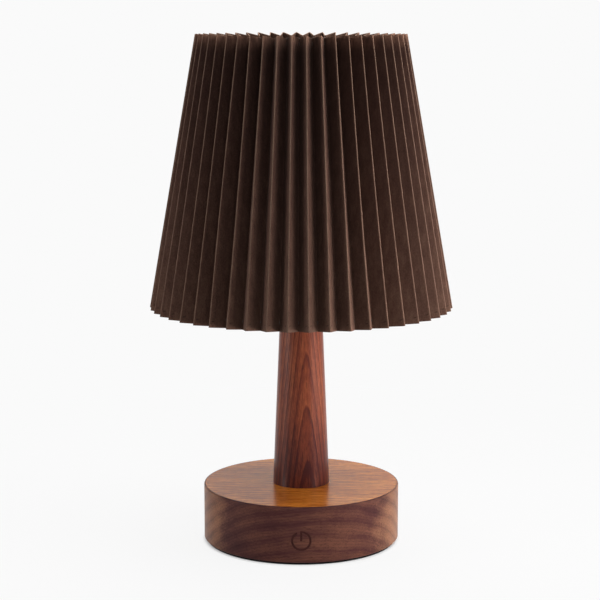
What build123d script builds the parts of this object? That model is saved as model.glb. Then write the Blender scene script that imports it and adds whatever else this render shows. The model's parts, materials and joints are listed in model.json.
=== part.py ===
from build123d import *
import math
import os

os.makedirs("parts", exist_ok=True)

# All lengths are in millimetres. The origin is the middle of the foot, on the table. Z is up,
# and the lamp's front, with the touch sign, faces -Y.

# Base
base_radius = 60.0
base_top = 35.4
base_edge_round = 0.9
base_foot_bevel = 0.6
foot_height = 1.5
foot_radius = 58.5
foot_bevel = 0.4
pocket_radius = 49.0
pocket_roof = 27.4
overrun = 1.0

# Cover let into the underside, and its screws
cover_radius = 54.8
cover_gap = 0.2
cover_top = 4.0
screw_count = 4
screw_circle = 52.0
screw_turn = 45
screw_head_radius = 2.6
screw_head_height = 1.2
screw_shank_radius = 1.4
screw_length = 8.5
screw_play = 0.1
screw_pilot_depth = 8.0

# Stem, a straight taper from the base to the lamp head
stem_foot_radius = 17.3
stem_top = 216.0
stem_taper = 0.0414
stem_top_radius = stem_foot_radius - stem_taper * (stem_top - base_top)
tenon_radius = 12.0
tenon_depth = 4.0
tenon_gap = 0.2
tenon_play = 0.1
bore_radius = 5.3

# Threaded tube that pulls base, stem and head together
tube_radius = 5.0
tube_bore = 3.5
tube_bottom = 19.8
tube_top = 224.4
nut_flats = 17.0
nut_height = 4.0
washer_radius = 10.0
washer_height = 2.0

# Lamp head
head_floor = 220.0
flare_radius = 24.5
flare_height = 220.4
shoulder_radius = 26.5
shoulder_underside = 221.2
shoulder_height = 223.0
boss_radius = 20.5
boss_top = 228.0
board_seat = 225.0
recess_radius = 18.1
nut_well_radius = 12.0

# Light board
led_board_radius = 17.8
led_board_height = 1.6
led_board_hole = 3.0
led_face = board_seat + led_board_height
led_count = 6
led_circle = 9.5
led_size = 2.8
led_height = 0.8
led_turn = 30
led_screw_circle = 15.0
led_screw_count = 2
led_screw_head_radius = 1.5
led_screw_head_height = 1.0
led_screw_length = 5.0
led_screw_hole = 1.2
led_pilot_depth = 4.0
connector_size = 8.0
connector_round = 1.0
connector_height = 2.6
pilot_radius = 0.9

# Diffuser, a moulded cup upside down over the light
diffuser_top = 258.0
diffuser_wall = 1.5
diffuser_bevel = 2.5
skirt_wall = 1.0
skirt_play = 0.1
skirt_lift = 0.2
skirt_overlap = 1.5

# Shade seat
seat_washer_height = 1.0
seat_washer_inset = 0.3
seat_washer_play = 0.4
fitter_inner = 21.2
fitter_outer = 27.6
fitter_height = 2.0
fitter_bottom = shoulder_height + seat_washer_height
fitter_top = fitter_bottom + fitter_height

# Pleated shade, measured on the outer folds
pleat_count = 48
pleat_phase = -4.78
shade_bottom = 145.4
shade_top = 309.7
shade_bottom_radius = 92.1
shade_top_radius = 63.4
panel_width = 10.4
sheet = 0.55
nose_width = 0.7
shade_slope = (shade_bottom_radius - shade_top_radius) / (shade_top - shade_bottom)

# Wire frame inside the shade
wire_radius = 1.5
wire_sides = 8
wire_gap = 0.02
rib_radius = 1.1
rib_count = 4
rib_turn = 45
arm_count = 3
arm_turn = 60
arm_land = 25.4
arm_elbow = 28.5
arm_elbow_height = 299.0
arm_bend = 9.0
bottom_ring_height = shade_bottom + 3.6
top_ring_height = shade_top - 5.0

# Charging port at the back of the base
port_height = 14.0
port_width = 19.5
port_tall = 7.6
port_inner = 54.2
port_room = 3.0
port_play = 0.1
bezel_inset = 0.4
socket_width = 8.94
socket_tall = 3.2
socket_depth = 7.4
socket_mouth = 59.0
socket_wall = 0.3
socket_back = 1.2
tongue_width = 6.7
tongue_tall = 0.7
tongue_length = 4.6
pipe_x = 7.0
pipe_radius = 1.1
pipe_play = 0.03
pipe_tail = 0.6

# Touch switch behind the sign
touch_height = 14.7
touch_pocket_radius = 8.5
touch_wall = 3.2
electrode_radius = 7.8
electrode_thick = 0.4
electrode_back = base_radius - touch_wall - electrode_thick

# Cell, its cradle and its contacts
cell_radius = 9.2
cell_length = 65.0
cell_y = -21.0
cell_z = 17.4
cell_bevel = 0.6
cradle_half = 36.2
cradle_end = 1.5
cradle_top = 14.5
cradle_side = 1.7
cradle_round = 2.5
cradle_play = 0.1
cradle_post_width = 14.0
cradle_post_height = 7.5
tab_plate = 0.4
tab_size = (11.0, 8.0)
tab_cone_radii = (2.0, 3.5)
tab_span = cradle_half - cradle_end - cell_length / 2 - tab_plate

# Ballast
ballast_top = 7.0
ballast_radius = 46.0
post_play = 0.4

# Control board, on four posts of the cover
board_bottom = 10.8
board_height = 1.6
board_top = board_bottom + board_height
board_half = 23.0
board_front = 20.0
board_back = 42.0
board_tongue_half = 9.0
board_tongue_end = 54.0
post_places = [(x, y) for y in (24.0, 37.0) for x in (-19.0, 19.0)]
post_radius = 2.6
post_pilot_depth = 5.0
board_screw_hole = 1.1
board_screw_head_radius = 2.0
board_screw_head_height = 1.4
board_screw_length = 6.0
capacitor_place = (-5.5, 32.0)
capacitor_radius = 2.5
capacitor_height = 6.0
capacitor_bevel = 0.4
plug_x = 10.0
plug_width = 8.0
plug_depth = 6.0
plug_tall = 5.0
plug_face = board_front + 0.5

# Leads
lead_thick = 1.4
touch_lead_thick = 1.1
light_lead_thick = 2.4
lead_sides = 6
lead_spacing = 2.4
lead_height = board_top + 2.6


def finish(piece, name):
    """Label a finished piece and write its file."""
    piece.part.label = name
    export_step(piece.part, f"parts/{name}.step")


def half_pitch(radius):
    """Half the distance from one outer fold to the next at this radius."""
    return math.pi * radius / pleat_count


def outer_fold_radius(height):
    """Radius of the outer folds at a height."""
    return shade_bottom_radius - shade_slope * (height - shade_bottom)


def pleat_depth(height):
    """Radial depth of the folds. Every panel has one width, so closer folds stand deeper."""
    middle = outer_fold_radius(height) - panel_width / 2
    return math.sqrt(panel_width**2 - half_pitch(middle) ** 2)


def inner_fold_radius(height):
    """Radius of the folds that stand inwards, on the face that looks into the shade."""
    return outer_fold_radius(height) - pleat_depth(height)


def fold_leans(height):
    """Angle between a panel and the meridian plane, at its outer and at its inner fold."""
    step = math.radians(180 / pleat_count)
    outer = outer_fold_radius(height)
    inner = inner_fold_radius(height)
    outer_lean = math.atan2(inner * math.sin(step), outer - inner * math.cos(step))
    inner_lean = math.atan2(outer * math.sin(step), outer * math.cos(step) - inner)
    return outer_lean, inner_lean


def round_axis(radius, degrees, height):
    """Point at a radius, an angle from the front towards +X, and a height."""
    angle = math.radians(degrees)
    return Vector(radius * math.sin(angle), -radius * math.cos(angle), height)


def pleat_outline(height, outside):
    """Corners of the zigzag's outer or inner face. Folds that stand proud end in a narrow nose."""
    outer = outer_fold_radius(height)
    inner = inner_fold_radius(height)
    outer_lean, inner_lean = fold_leans(height)
    half_nose = nose_width / 2
    points = []
    for index in range(pleat_count):
        crest = pleat_phase + index * 360 / pleat_count
        trough = crest + 180 / pleat_count
        if outside:
            turn = math.degrees(half_nose / outer)
            valley = inner - half_nose / math.tan(inner_lean) + sheet / math.sin(inner_lean)
            points.append(round_axis(outer, crest - turn, 0))
            points.append(round_axis(outer, crest + turn, 0))
            points.append(round_axis(valley, trough, 0))
        else:
            turn = math.degrees(half_nose / inner)
            groove = outer + half_nose / math.tan(outer_lean) - sheet / math.sin(outer_lean)
            points.append(round_axis(groove, crest, 0))
            points.append(round_axis(inner, trough - turn, 0))
            points.append(round_axis(inner, trough + turn, 0))
    return points


# Foot pad, a soft disc glued under the cover and the wood
with BuildPart() as foot_pad:
    with BuildSketch():
        Circle(foot_radius)
    extrude(amount=foot_height)
    chamfer(foot_pad.edges().group_by(Axis.Z)[0], length=foot_bevel)
finish(foot_pad, "foot_pad")

# Base cover, a moulded disc let into the underside, with posts for the board
with BuildPart() as base_cover:
    with BuildSketch(Plane.XY.offset(foot_height)):
        Circle(cover_radius)
    extrude(amount=cover_top - foot_height)
    with BuildSketch(Plane.XY.offset(cover_top)):
        with Locations(*post_places):
            Circle(post_radius)
    extrude(amount=board_bottom - cover_top)
    with BuildSketch(Plane.XY.offset(board_bottom)):
        with Locations(*post_places):
            Circle(pilot_radius)
    extrude(amount=-post_pilot_depth, mode=Mode.SUBTRACT)
    with BuildSketch(Plane.XY.offset(foot_height)):
        with PolarLocations(screw_circle, screw_count, start_angle=screw_turn):
            Circle(screw_shank_radius + 3 * screw_play)
    extrude(amount=cover_top - foot_height, mode=Mode.SUBTRACT)
    with BuildSketch(Plane.XY.offset(foot_height)):
        with PolarLocations(screw_circle, screw_count, start_angle=screw_turn):
            Circle(screw_head_radius + screw_play)
    extrude(amount=screw_head_height + screw_play, mode=Mode.SUBTRACT)
finish(base_cover, "base_cover")

# Cover screws, heads sunk just below the cover's face
screw_seat = foot_height + screw_play + screw_head_height
with BuildPart() as cover_screws:
    with BuildSketch(Plane.XY.offset(screw_seat)):
        with PolarLocations(screw_circle, screw_count, start_angle=screw_turn):
            Circle(screw_head_radius)
    extrude(amount=-screw_head_height)
    with BuildSketch(Plane.XY.offset(screw_seat)):
        with PolarLocations(screw_circle, screw_count, start_angle=screw_turn):
            Circle(screw_shank_radius)
    extrude(amount=screw_length)
finish(cover_screws, "cover_screws")

# Ballast plate, steel, that keeps the lamp upright, pierced for the board's posts
with BuildPart() as ballast_plate:
    with BuildSketch(Plane.XY.offset(cover_top)):
        Circle(ballast_radius)
        with Locations(*post_places):
            Circle(post_radius + post_play, mode=Mode.SUBTRACT)
    extrude(amount=ballast_top - cover_top)
finish(ballast_plate, "ballast_plate")

# Base body, a turned walnut disc hollowed from below, open at the back for the charging port
with BuildPart() as base_body:
    with BuildSketch(Plane.XY.offset(foot_height)):
        Circle(base_radius)
    extrude(amount=base_top - foot_height)
    fillet(base_body.edges().sort_by(Axis.Z)[-1], radius=base_edge_round)
    chamfer(base_body.edges().sort_by(Axis.Z)[0], length=base_foot_bevel)
    with BuildSketch(Plane.XY.offset(foot_height)):
        Circle(pocket_radius)
    extrude(amount=pocket_roof - foot_height, mode=Mode.SUBTRACT)
    with BuildSketch(Plane.XY.offset(foot_height)):
        Circle(cover_radius + cover_gap)
    extrude(amount=cover_top - foot_height, mode=Mode.SUBTRACT)
    with BuildSketch(Plane.XY.offset(pocket_roof)):
        Circle(bore_radius)
    extrude(amount=base_top - pocket_roof, mode=Mode.SUBTRACT)
    with BuildSketch(Plane.XY.offset(base_top)):
        Circle(tenon_radius + tenon_play)
    extrude(amount=-tenon_depth, mode=Mode.SUBTRACT)
    with BuildSketch(Plane.XZ.offset(base_radius - touch_wall)):
        with Locations((0, touch_height)):
            Circle(touch_pocket_radius)
    extrude(amount=pocket_radius - 4 * overrun - (base_radius - touch_wall), mode=Mode.SUBTRACT)
    with BuildSketch(Plane.XZ.offset(-port_inner)):
        with Locations((0, port_height)):
            SlotOverall(port_width, port_tall)
    extrude(amount=port_inner - base_radius - overrun, mode=Mode.SUBTRACT)
    with BuildSketch(Plane.XZ.offset(-port_inner)):
        with Locations((0, port_height)):
            Rectangle(port_width + port_room, port_tall + port_room)
    extrude(amount=port_inner - pocket_radius + 5 * overrun, mode=Mode.SUBTRACT)
    with BuildSketch(Plane.XY.offset(cover_top)):
        with PolarLocations(screw_circle, screw_count, start_angle=screw_turn):
            Circle(screw_shank_radius + screw_play / 2)
    extrude(amount=screw_pilot_depth, mode=Mode.SUBTRACT)
finish(base_body, "base_body")

# Stem, turned walnut with a straight taper, a tenon below and a bore from end to end
with BuildPart() as stem:
    with BuildSketch(Plane.XZ):
        with BuildLine():
            Polyline(
                (bore_radius, base_top - tenon_depth + tenon_gap),
                (tenon_radius, base_top - tenon_depth + tenon_gap),
                (tenon_radius, base_top),
                (stem_foot_radius, base_top),
                (stem_top_radius, stem_top),
                (bore_radius, stem_top),
                close=True,
            )
        make_face()
    revolve(axis=Axis.Z)
finish(stem, "stem")

# Threaded tie tube, shown without its thread
with BuildPart() as tie_tube:
    with BuildSketch(Plane.XY.offset(tube_bottom)):
        Circle(tube_radius)
        Circle(tube_bore, mode=Mode.SUBTRACT)
    extrude(amount=tube_top - tube_bottom)
finish(tie_tube, "tie_tube")

# Washer and nut under the pocket's roof, and the nut in the head
with BuildPart() as lower_washer:
    with BuildSketch(Plane.XY.offset(pocket_roof - washer_height)):
        Circle(washer_radius)
        Circle(tube_radius + tenon_gap, mode=Mode.SUBTRACT)
    extrude(amount=washer_height)
finish(lower_washer, "lower_washer")


def tube_nut(bottom):
    """Thin hexagon nut on the tie tube."""
    with BuildPart() as nut:
        with BuildSketch(Plane.XY.offset(bottom)):
            RegularPolygon(nut_flats / 2, 6, major_radius=False)
            Circle(tube_radius, mode=Mode.SUBTRACT)
        extrude(amount=nut_height)
    return nut


finish(tube_nut(pocket_roof - washer_height - nut_height), "lower_nut")
finish(tube_nut(head_floor), "upper_nut")

# Head cup, turned aluminium: it flares from the stem to the shoulder that carries the shade
with BuildPart() as head_cup:
    with BuildSketch(Plane.XZ):
        with BuildLine():
            Polyline(
                (bore_radius, stem_top),
                (stem_top_radius, stem_top),
                (flare_radius, flare_height),
                (shoulder_radius, shoulder_underside),
                (shoulder_radius, shoulder_height),
                (boss_radius, shoulder_height),
                (boss_radius, boss_top),
                (recess_radius, boss_top),
                (recess_radius, board_seat),
                (nut_well_radius, board_seat),
                (nut_well_radius, head_floor),
                (bore_radius, head_floor),
                close=True,
            )
        make_face()
    revolve(axis=Axis.Z)
    with BuildSketch(Plane.XY.offset(board_seat)):
        with PolarLocations(led_screw_circle, led_screw_count):
            Circle(pilot_radius)
    extrude(amount=-led_pilot_depth, mode=Mode.SUBTRACT)
finish(head_cup, "head_cup")

# Round board that carries the light chips
with BuildPart() as led_board:
    with BuildSketch(Plane.XY.offset(board_seat)):
        Circle(led_board_radius)
        Circle(led_board_hole, mode=Mode.SUBTRACT)
        with PolarLocations(led_screw_circle, led_screw_count):
            Circle(led_screw_hole, mode=Mode.SUBTRACT)
    extrude(amount=led_board_height)
finish(led_board, "led_board")

with BuildPart() as led_chips:
    with BuildSketch(Plane.XY.offset(led_face)):
        with PolarLocations(led_circle, led_count, start_angle=led_turn):
            Rectangle(led_size, led_size)
    extrude(amount=led_height)
finish(led_chips, "led_chips")

with BuildPart() as led_board_screws:
    with BuildSketch(Plane.XY.offset(led_face)):
        with PolarLocations(led_screw_circle, led_screw_count):
            Circle(led_screw_head_radius)
    extrude(amount=led_screw_head_height)
    with BuildSketch(Plane.XY.offset(led_face)):
        with PolarLocations(led_screw_circle, led_screw_count):
            Circle(pilot_radius)
    extrude(amount=-led_screw_length)
finish(led_board_screws, "led_board_screws")

# Small plug on the light board, where the lead from the base ends
with BuildPart() as led_connector:
    with BuildSketch(Plane.XY.offset(led_face)):
        RectangleRounded(connector_size, connector_size, connector_round)
    extrude(amount=connector_height)
finish(led_connector, "led_connector")

# Diffuser, an opal cup turned upside down, with a thin skirt that plugs into the head
skirt_radius = recess_radius - skirt_play
skirt_bottom = led_face + skirt_lift
skirt_top = boss_top + skirt_overlap
with BuildPart() as diffuser:
    with BuildSketch(Plane.XY.offset(boss_top)):
        Circle(boss_radius)
    extrude(amount=diffuser_top - boss_top)
    chamfer(diffuser.edges().sort_by(Axis.Z)[-1], length=diffuser_bevel)
    with BuildSketch(Plane.XY.offset(skirt_bottom)):
        Circle(skirt_radius)
    extrude(amount=boss_top - skirt_bottom)
    with BuildSketch(Plane.XY.offset(skirt_bottom)):
        Circle(skirt_radius - skirt_wall)
    extrude(amount=skirt_top - skirt_bottom, mode=Mode.SUBTRACT)
    with BuildSketch(Plane.XZ):
        with BuildLine():
            Polyline(
                (0, skirt_top),
                (skirt_radius - skirt_wall, skirt_top),
                (boss_radius - diffuser_wall, skirt_top + skirt_overlap),
                (boss_radius - diffuser_wall, diffuser_top - diffuser_wall - diffuser_bevel),
                (boss_radius - diffuser_wall - diffuser_bevel, diffuser_top - diffuser_wall),
                (0, diffuser_top - diffuser_wall),
                close=True,
            )
        make_face()
    revolve(axis=Axis.Z, mode=Mode.SUBTRACT)
finish(diffuser, "diffuser")

# Battery cradle, a moulded tray whose trough holds the cell
with BuildPart() as battery_cradle:
    with BuildSketch(Plane.XY.offset(ballast_top)):
        with Locations((0, cell_y)):
            RectangleRounded(2 * cradle_half, 2 * (cell_radius + cradle_side), cradle_round)
    extrude(amount=cradle_top - ballast_top)
    with BuildSketch(Plane.YZ.offset(cradle_end - cradle_half)):
        with Locations((cell_y, cell_z)):
            Circle(cell_radius + cradle_play)
    extrude(amount=2 * (cradle_half - cradle_end), mode=Mode.SUBTRACT)
    with BuildSketch(Plane.XY.offset(cradle_top)):
        with Locations((cradle_half - cradle_end / 2, cell_y), (cradle_end / 2 - cradle_half, cell_y)):
            Rectangle(cradle_end, cradle_post_width)
    extrude(amount=cradle_post_height)
finish(battery_cradle, "battery_cradle")

# Rechargeable cell
with BuildPart() as battery_cell:
    with BuildSketch(Plane.YZ.offset(-cell_length / 2)):
        with Locations((cell_y, cell_z)):
            Circle(cell_radius)
    extrude(amount=cell_length)
    chamfer(battery_cell.edges().filter_by(GeomType.CIRCLE), length=cell_bevel)
finish(battery_cell, "battery_cell")

# Contacts at the cell's two ends, a plate with a pressed cone each
with BuildPart() as cell_tabs:
    for side in (-1, 1):
        face = Plane((side * cell_length / 2, cell_y, cell_z), x_dir=(0, 1, 0), z_dir=(side, 0, 0))
        with BuildSketch(face):
            Circle(tab_cone_radii[0])
        with BuildSketch(face.offset(tab_span)):
            Circle(tab_cone_radii[1])
        loft()
        with BuildSketch(face.offset(tab_span)):
            Rectangle(*tab_size)
        extrude(amount=tab_plate)
finish(cell_tabs, "cell_tabs")

# Control board on the cover's posts, with a tongue that reaches the charging port
with BuildPart() as control_board:
    with BuildSketch(Plane.XY.offset(board_bottom)):
        with BuildLine():
            Polyline(
                (-board_half, board_front),
                (board_half, board_front),
                (board_half, board_back),
                (board_tongue_half, board_back),
                (board_tongue_half, board_tongue_end),
                (-board_tongue_half, board_tongue_end),
                (-board_tongue_half, board_back),
                (-board_half, board_back),
                close=True,
            )
        make_face()
        with Locations(*post_places):
            Circle(board_screw_hole, mode=Mode.SUBTRACT)
    extrude(amount=board_height)
finish(control_board, "control_board")

with BuildPart() as board_screws:
    with BuildSketch(Plane.XY.offset(board_top)):
        with Locations(*post_places):
            Circle(board_screw_head_radius)
    extrude(amount=board_screw_head_height)
    with BuildSketch(Plane.XY.offset(board_top)):
        with Locations(*post_places):
            Circle(pilot_radius)
    extrude(amount=-board_screw_length)
finish(board_screws, "board_screws")

# Chips, coil and charge light on the board: middle, size and height of each
chip_places = [
    ((-13.0, 31.5), (5.0, 4.0), 1.2),
    ((2.0, 37.0), (5.0, 5.0), 1.0),
    ((9.5, 32.0), (6.0, 6.0), 3.0),
    ((pipe_x, 52.8), (1.6, 0.9), 0.8),
]
with BuildPart() as board_chips:
    for place, size, height in chip_places:
        with BuildSketch(Plane.XY.offset(board_top)):
            with Locations(place):
                Rectangle(*size)
        extrude(amount=height)
finish(board_chips, "board_chips")

with BuildPart() as storage_capacitor:
    with BuildSketch(Plane.XY.offset(board_top)):
        with Locations(capacitor_place):
            Circle(capacitor_radius)
    extrude(amount=capacitor_height)
    chamfer(storage_capacitor.edges().sort_by(Axis.Z)[-1], length=capacitor_bevel)
finish(storage_capacitor, "storage_capacitor")

# Two sockets at the board's front edge, for the cell's leads and for the light's lead
with BuildPart() as lead_sockets:
    with BuildSketch(Plane.XY.offset(board_top)):
        with Locations((plug_x, plug_face + plug_depth / 2), (-plug_x, plug_face + plug_depth / 2)):
            Rectangle(plug_width, plug_depth)
    extrude(amount=plug_tall)
finish(lead_sockets, "lead_sockets")

# Charging socket, a steel shell of the standard reversible size, open at the back of the lamp
with BuildPart() as charge_socket:
    with BuildSketch(Plane.XZ.offset(-socket_mouth)):
        with Locations((0, port_height)):
            SlotOverall(socket_width, socket_tall)
    extrude(amount=socket_depth)
    with BuildSketch(Plane.XZ.offset(-socket_mouth)):
        with Locations((0, port_height)):
            SlotOverall(socket_width - 2 * socket_wall, socket_tall - 2 * socket_wall)
    extrude(amount=socket_depth - socket_back, mode=Mode.SUBTRACT)
finish(charge_socket, "charge_socket")

with BuildPart() as socket_tongue:
    with BuildSketch(Plane.XZ.offset(socket_depth - socket_back - socket_mouth)):
        with Locations((0, port_height)):
            Rectangle(tongue_width, tongue_tall)
    extrude(amount=-tongue_length)
finish(socket_tongue, "socket_tongue")

# Port bezel, a moulded plug in the wall that follows the base's curve just below its surface
with BuildPart() as port_bezel:
    with BuildSketch(Plane.XZ.offset(-port_inner)):
        with Locations((0, port_height)):
            SlotOverall(port_width - port_play, port_tall - port_play)
            SlotOverall(socket_width + port_play, socket_tall + port_play, mode=Mode.SUBTRACT)
        with Locations((pipe_x, port_height)):
            Circle(pipe_radius + pipe_play, mode=Mode.SUBTRACT)
    extrude(amount=port_inner - base_radius - overrun)
    with BuildSketch():
        Circle(base_radius - bezel_inset)
    extrude(amount=base_top, mode=Mode.INTERSECT)
finish(port_bezel, "port_bezel")

# Light pipe that shows the charge light beside the socket
with BuildPart() as charge_light_pipe:
    with BuildSketch(Plane.XZ.offset(pipe_tail - port_inner)):
        with Locations((pipe_x, port_height)):
            Circle(pipe_radius)
    extrude(amount=port_inner - base_radius - overrun)
    with BuildSketch():
        Circle(base_radius - bezel_inset)
    extrude(amount=base_top, mode=Mode.INTERSECT)
finish(charge_light_pipe, "charge_light_pipe")

# Touch electrode, a copper disc on the thinned wall behind the sign
with BuildPart() as touch_electrode:
    with BuildSketch(Plane.XZ.offset(electrode_back)):
        with Locations((0, touch_height)):
            Circle(electrode_radius)
    extrude(amount=electrode_thick)
finish(touch_electrode, "touch_electrode")


def lead(points, radii, thickness):
    """Hidden insulated lead along straight runs joined by arcs, one radius for each corner."""
    route_points = [Vector(*point) for point in points]
    with BuildPart() as wire:
        with BuildLine():
            route = FilletPolyline(*route_points, radius=radii)
        with BuildSketch(Plane(origin=route_points[0], z_dir=route_points[1] - route_points[0])):
            RegularPolygon(thickness / 2, lead_sides)
        sweep(path=route)
    return wire


# Leads inside the closed base, each on its own way round the cell and the nut. The last one
# climbs the tie tube to the light.
tab_x = cell_length / 2 + tab_span - lead_thick / 2
plus_x = plug_x + lead_spacing / 2
minus_x = plug_x - lead_spacing / 2
plus_route = [
    (tab_x, cell_y + 4.8, 20),
    (tab_x, -6, 20),
    (28, 8, 17),
    (plus_x, 12, lead_height),
    (plus_x, plug_face, lead_height),
]
finish(lead(plus_route, [5, 5, 3], lead_thick), "battery_lead_plus")
minus_route = [
    (-tab_x, cell_y + 4.8, 20),
    (-tab_x, -6, 18),
    (-24, 7, 9.5),
    (0, 9.5, 9),
    (minus_x, 13, lead_height),
    (minus_x, plug_face, lead_height),
]
finish(lead(minus_route, [5, 5, 4, 3], lead_thick), "battery_lead_minus")
touch_route = [
    (0, -electrode_back, touch_height),
    (0, -50, touch_height),
    (-20, -44.3, 15.7),
    (-40.2, -26, 15.7),
    (-40.2, 2, 14),
    (-30, 22, 16.5),
    (-20.5, 30.5, 16.5),
    (-20.5, 30.5, board_top),
]
finish(lead(touch_route, [4, 8, 8, 8, 4, 1.6], touch_lead_thick), "touch_lead")
light_route = [
    (-plug_x, plug_face, lead_height),
    (-plug_x, 14, lead_height),
    (0, 0, 12.5),
    (0, 0, led_face),
]
finish(lead(light_route, [3, 3.5], light_lead_thick), "light_lead")

# Seat washer, a loose silicone ring between the head's shoulder and the shade
with BuildPart() as seat_washer:
    with BuildSketch(Plane.XY.offset(shoulder_height)):
        Circle(shoulder_radius - seat_washer_inset)
        Circle(boss_radius + seat_washer_play, mode=Mode.SUBTRACT)
    extrude(amount=seat_washer_height)
finish(seat_washer, "seat_washer")

# Fitter ring, the flat ring by which the shade hangs on the head
with BuildPart() as fitter_ring:
    with BuildSketch(Plane.XY.offset(fitter_bottom)):
        Circle(fitter_outer)
        Circle(fitter_inner, mode=Mode.SUBTRACT)
    extrude(amount=fitter_height)
finish(fitter_ring, "fitter_ring")

# Wire rings, drawn tight inside the folds that stand inwards. Their wire has eight flats, and
# one of them lies along the folds.
shade_slant = math.atan(shade_slope)


def ring_radius(height):
    """Radius of a ring's centre line where its wire just touches the inner folds."""
    return inner_fold_radius(height) - (wire_radius + wire_gap) / math.cos(shade_slant)


def wire_ring(height):
    """Closed ring of wire."""
    flat_turn = math.degrees(shade_slant) + 180 / wire_sides
    with BuildPart() as ring:
        with BuildSketch(Plane.XZ):
            with Locations((ring_radius(height), height)):
                RegularPolygon(wire_radius, wire_sides, major_radius=False, rotation=flat_turn)
        revolve(axis=Axis.Z)
    return ring


top_ring = wire_ring(top_ring_height)
bottom_ring = wire_ring(bottom_ring_height)
finish(top_ring, "top_ring")
finish(bottom_ring, "bottom_ring")

# Ribs, straight wires that hold the two rings apart, welded to both
for index in range(rib_count):
    turn = rib_turn + index * 360 / rib_count
    low = round_axis(ring_radius(bottom_ring_height), turn, bottom_ring_height)
    high = round_axis(ring_radius(top_ring_height), turn, top_ring_height)
    with BuildPart() as rib:
        with BuildSketch(Plane(origin=low, z_dir=high - low)):
            Circle(rib_radius)
        extrude(amount=(high - low).length)
        add(top_ring.part, mode=Mode.SUBTRACT)
        add(bottom_ring.part, mode=Mode.SUBTRACT)
    finish(rib, f"rib_{index + 1}")

# Spider arms, bent wires that drop from the top ring to the fitter ring
for index in range(arm_count):
    turn = arm_turn + index * 360 / arm_count
    start = round_axis(ring_radius(top_ring_height), turn, top_ring_height)
    elbow = round_axis(arm_elbow, turn, arm_elbow_height)
    end = round_axis(arm_land, turn, fitter_bottom)
    with BuildPart() as arm:
        with BuildLine():
            route = FilletPolyline(start, elbow, end, radius=arm_bend)
        with BuildSketch(Plane(origin=start, z_dir=elbow - start)):
            RegularPolygon(wire_radius, wire_sides)
        sweep(path=route)
        split(bisect_by=Plane.XY.offset(fitter_top), keep=Keep.TOP)
        add(top_ring.part, mode=Mode.SUBTRACT)
    finish(arm, f"spider_arm_{index + 1}")

# Pleated shade: one sheet folded in and out round a cone. Each of its two faces is drawn as a
# zigzag below and above the shade, joined by flat strips, and the ends are cut square to the folds.
run_out = 5.0
band_reach = 15.0
band_proud = 2.0
with BuildPart() as shade_pleats:
    for outside, mode in ((True, Mode.ADD), (False, Mode.SUBTRACT)):
        for height in (shade_bottom - run_out, shade_top + run_out):
            with BuildSketch(Plane.XY.offset(height)):
                with BuildLine():
                    Polyline(*pleat_outline(height, outside), close=True)
                make_face()
        loft(ruled=True, mode=mode)
    with BuildSketch(Plane.XZ):
        with BuildLine():
            Polyline(
                (shade_bottom_radius + band_proud, shade_bottom + band_proud * shade_slope),
                (shade_top_radius + band_proud, shade_top + band_proud * shade_slope),
                (shade_top_radius - band_reach, shade_top - band_reach * shade_slope),
                (shade_bottom_radius - band_reach, shade_bottom - band_reach * shade_slope),
                close=True,
            )
        make_face()
    revolve(axis=Axis.Z, mode=Mode.INTERSECT)
finish(shade_pleats, "shade_pleats")
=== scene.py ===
import json
import math
import random

import bmesh
import bpy
import numpy as np
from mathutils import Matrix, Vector


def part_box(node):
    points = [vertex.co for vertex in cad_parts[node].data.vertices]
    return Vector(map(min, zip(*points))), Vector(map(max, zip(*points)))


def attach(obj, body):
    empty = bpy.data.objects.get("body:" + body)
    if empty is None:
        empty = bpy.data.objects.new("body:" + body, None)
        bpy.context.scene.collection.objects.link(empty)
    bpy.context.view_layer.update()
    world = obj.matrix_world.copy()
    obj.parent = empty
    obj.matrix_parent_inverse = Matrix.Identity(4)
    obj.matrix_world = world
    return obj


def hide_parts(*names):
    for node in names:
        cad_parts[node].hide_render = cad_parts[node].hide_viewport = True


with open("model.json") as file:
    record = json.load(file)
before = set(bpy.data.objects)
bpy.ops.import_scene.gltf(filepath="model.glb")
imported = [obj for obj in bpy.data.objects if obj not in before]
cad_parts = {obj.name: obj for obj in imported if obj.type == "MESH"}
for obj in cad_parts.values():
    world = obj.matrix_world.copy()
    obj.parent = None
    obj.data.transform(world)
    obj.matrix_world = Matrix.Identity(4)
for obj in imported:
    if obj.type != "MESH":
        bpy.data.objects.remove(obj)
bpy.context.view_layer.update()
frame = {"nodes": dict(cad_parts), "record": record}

# All lengths are in metres, in the lamp's own frame: the origin is the middle of the foot, Z is up,
# and the front, with the touch sign, faces -Y. Sizes of shapes are written in millimetres, times MM.
MM = 0.001
nodes = frame["nodes"]

# The photograph's camera, fitted to the outlines of the base, stem and shade
CAMERA_DISTANCE = 1.098
CAMERA_HEIGHT = 0.3277
CAMERA_PITCH = 9.24
FOCAL_PIXELS = 1825.0
IMAGE_PIXELS = 600
SENSOR = 36.0
AXIS_PIXEL = 301.2

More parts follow.
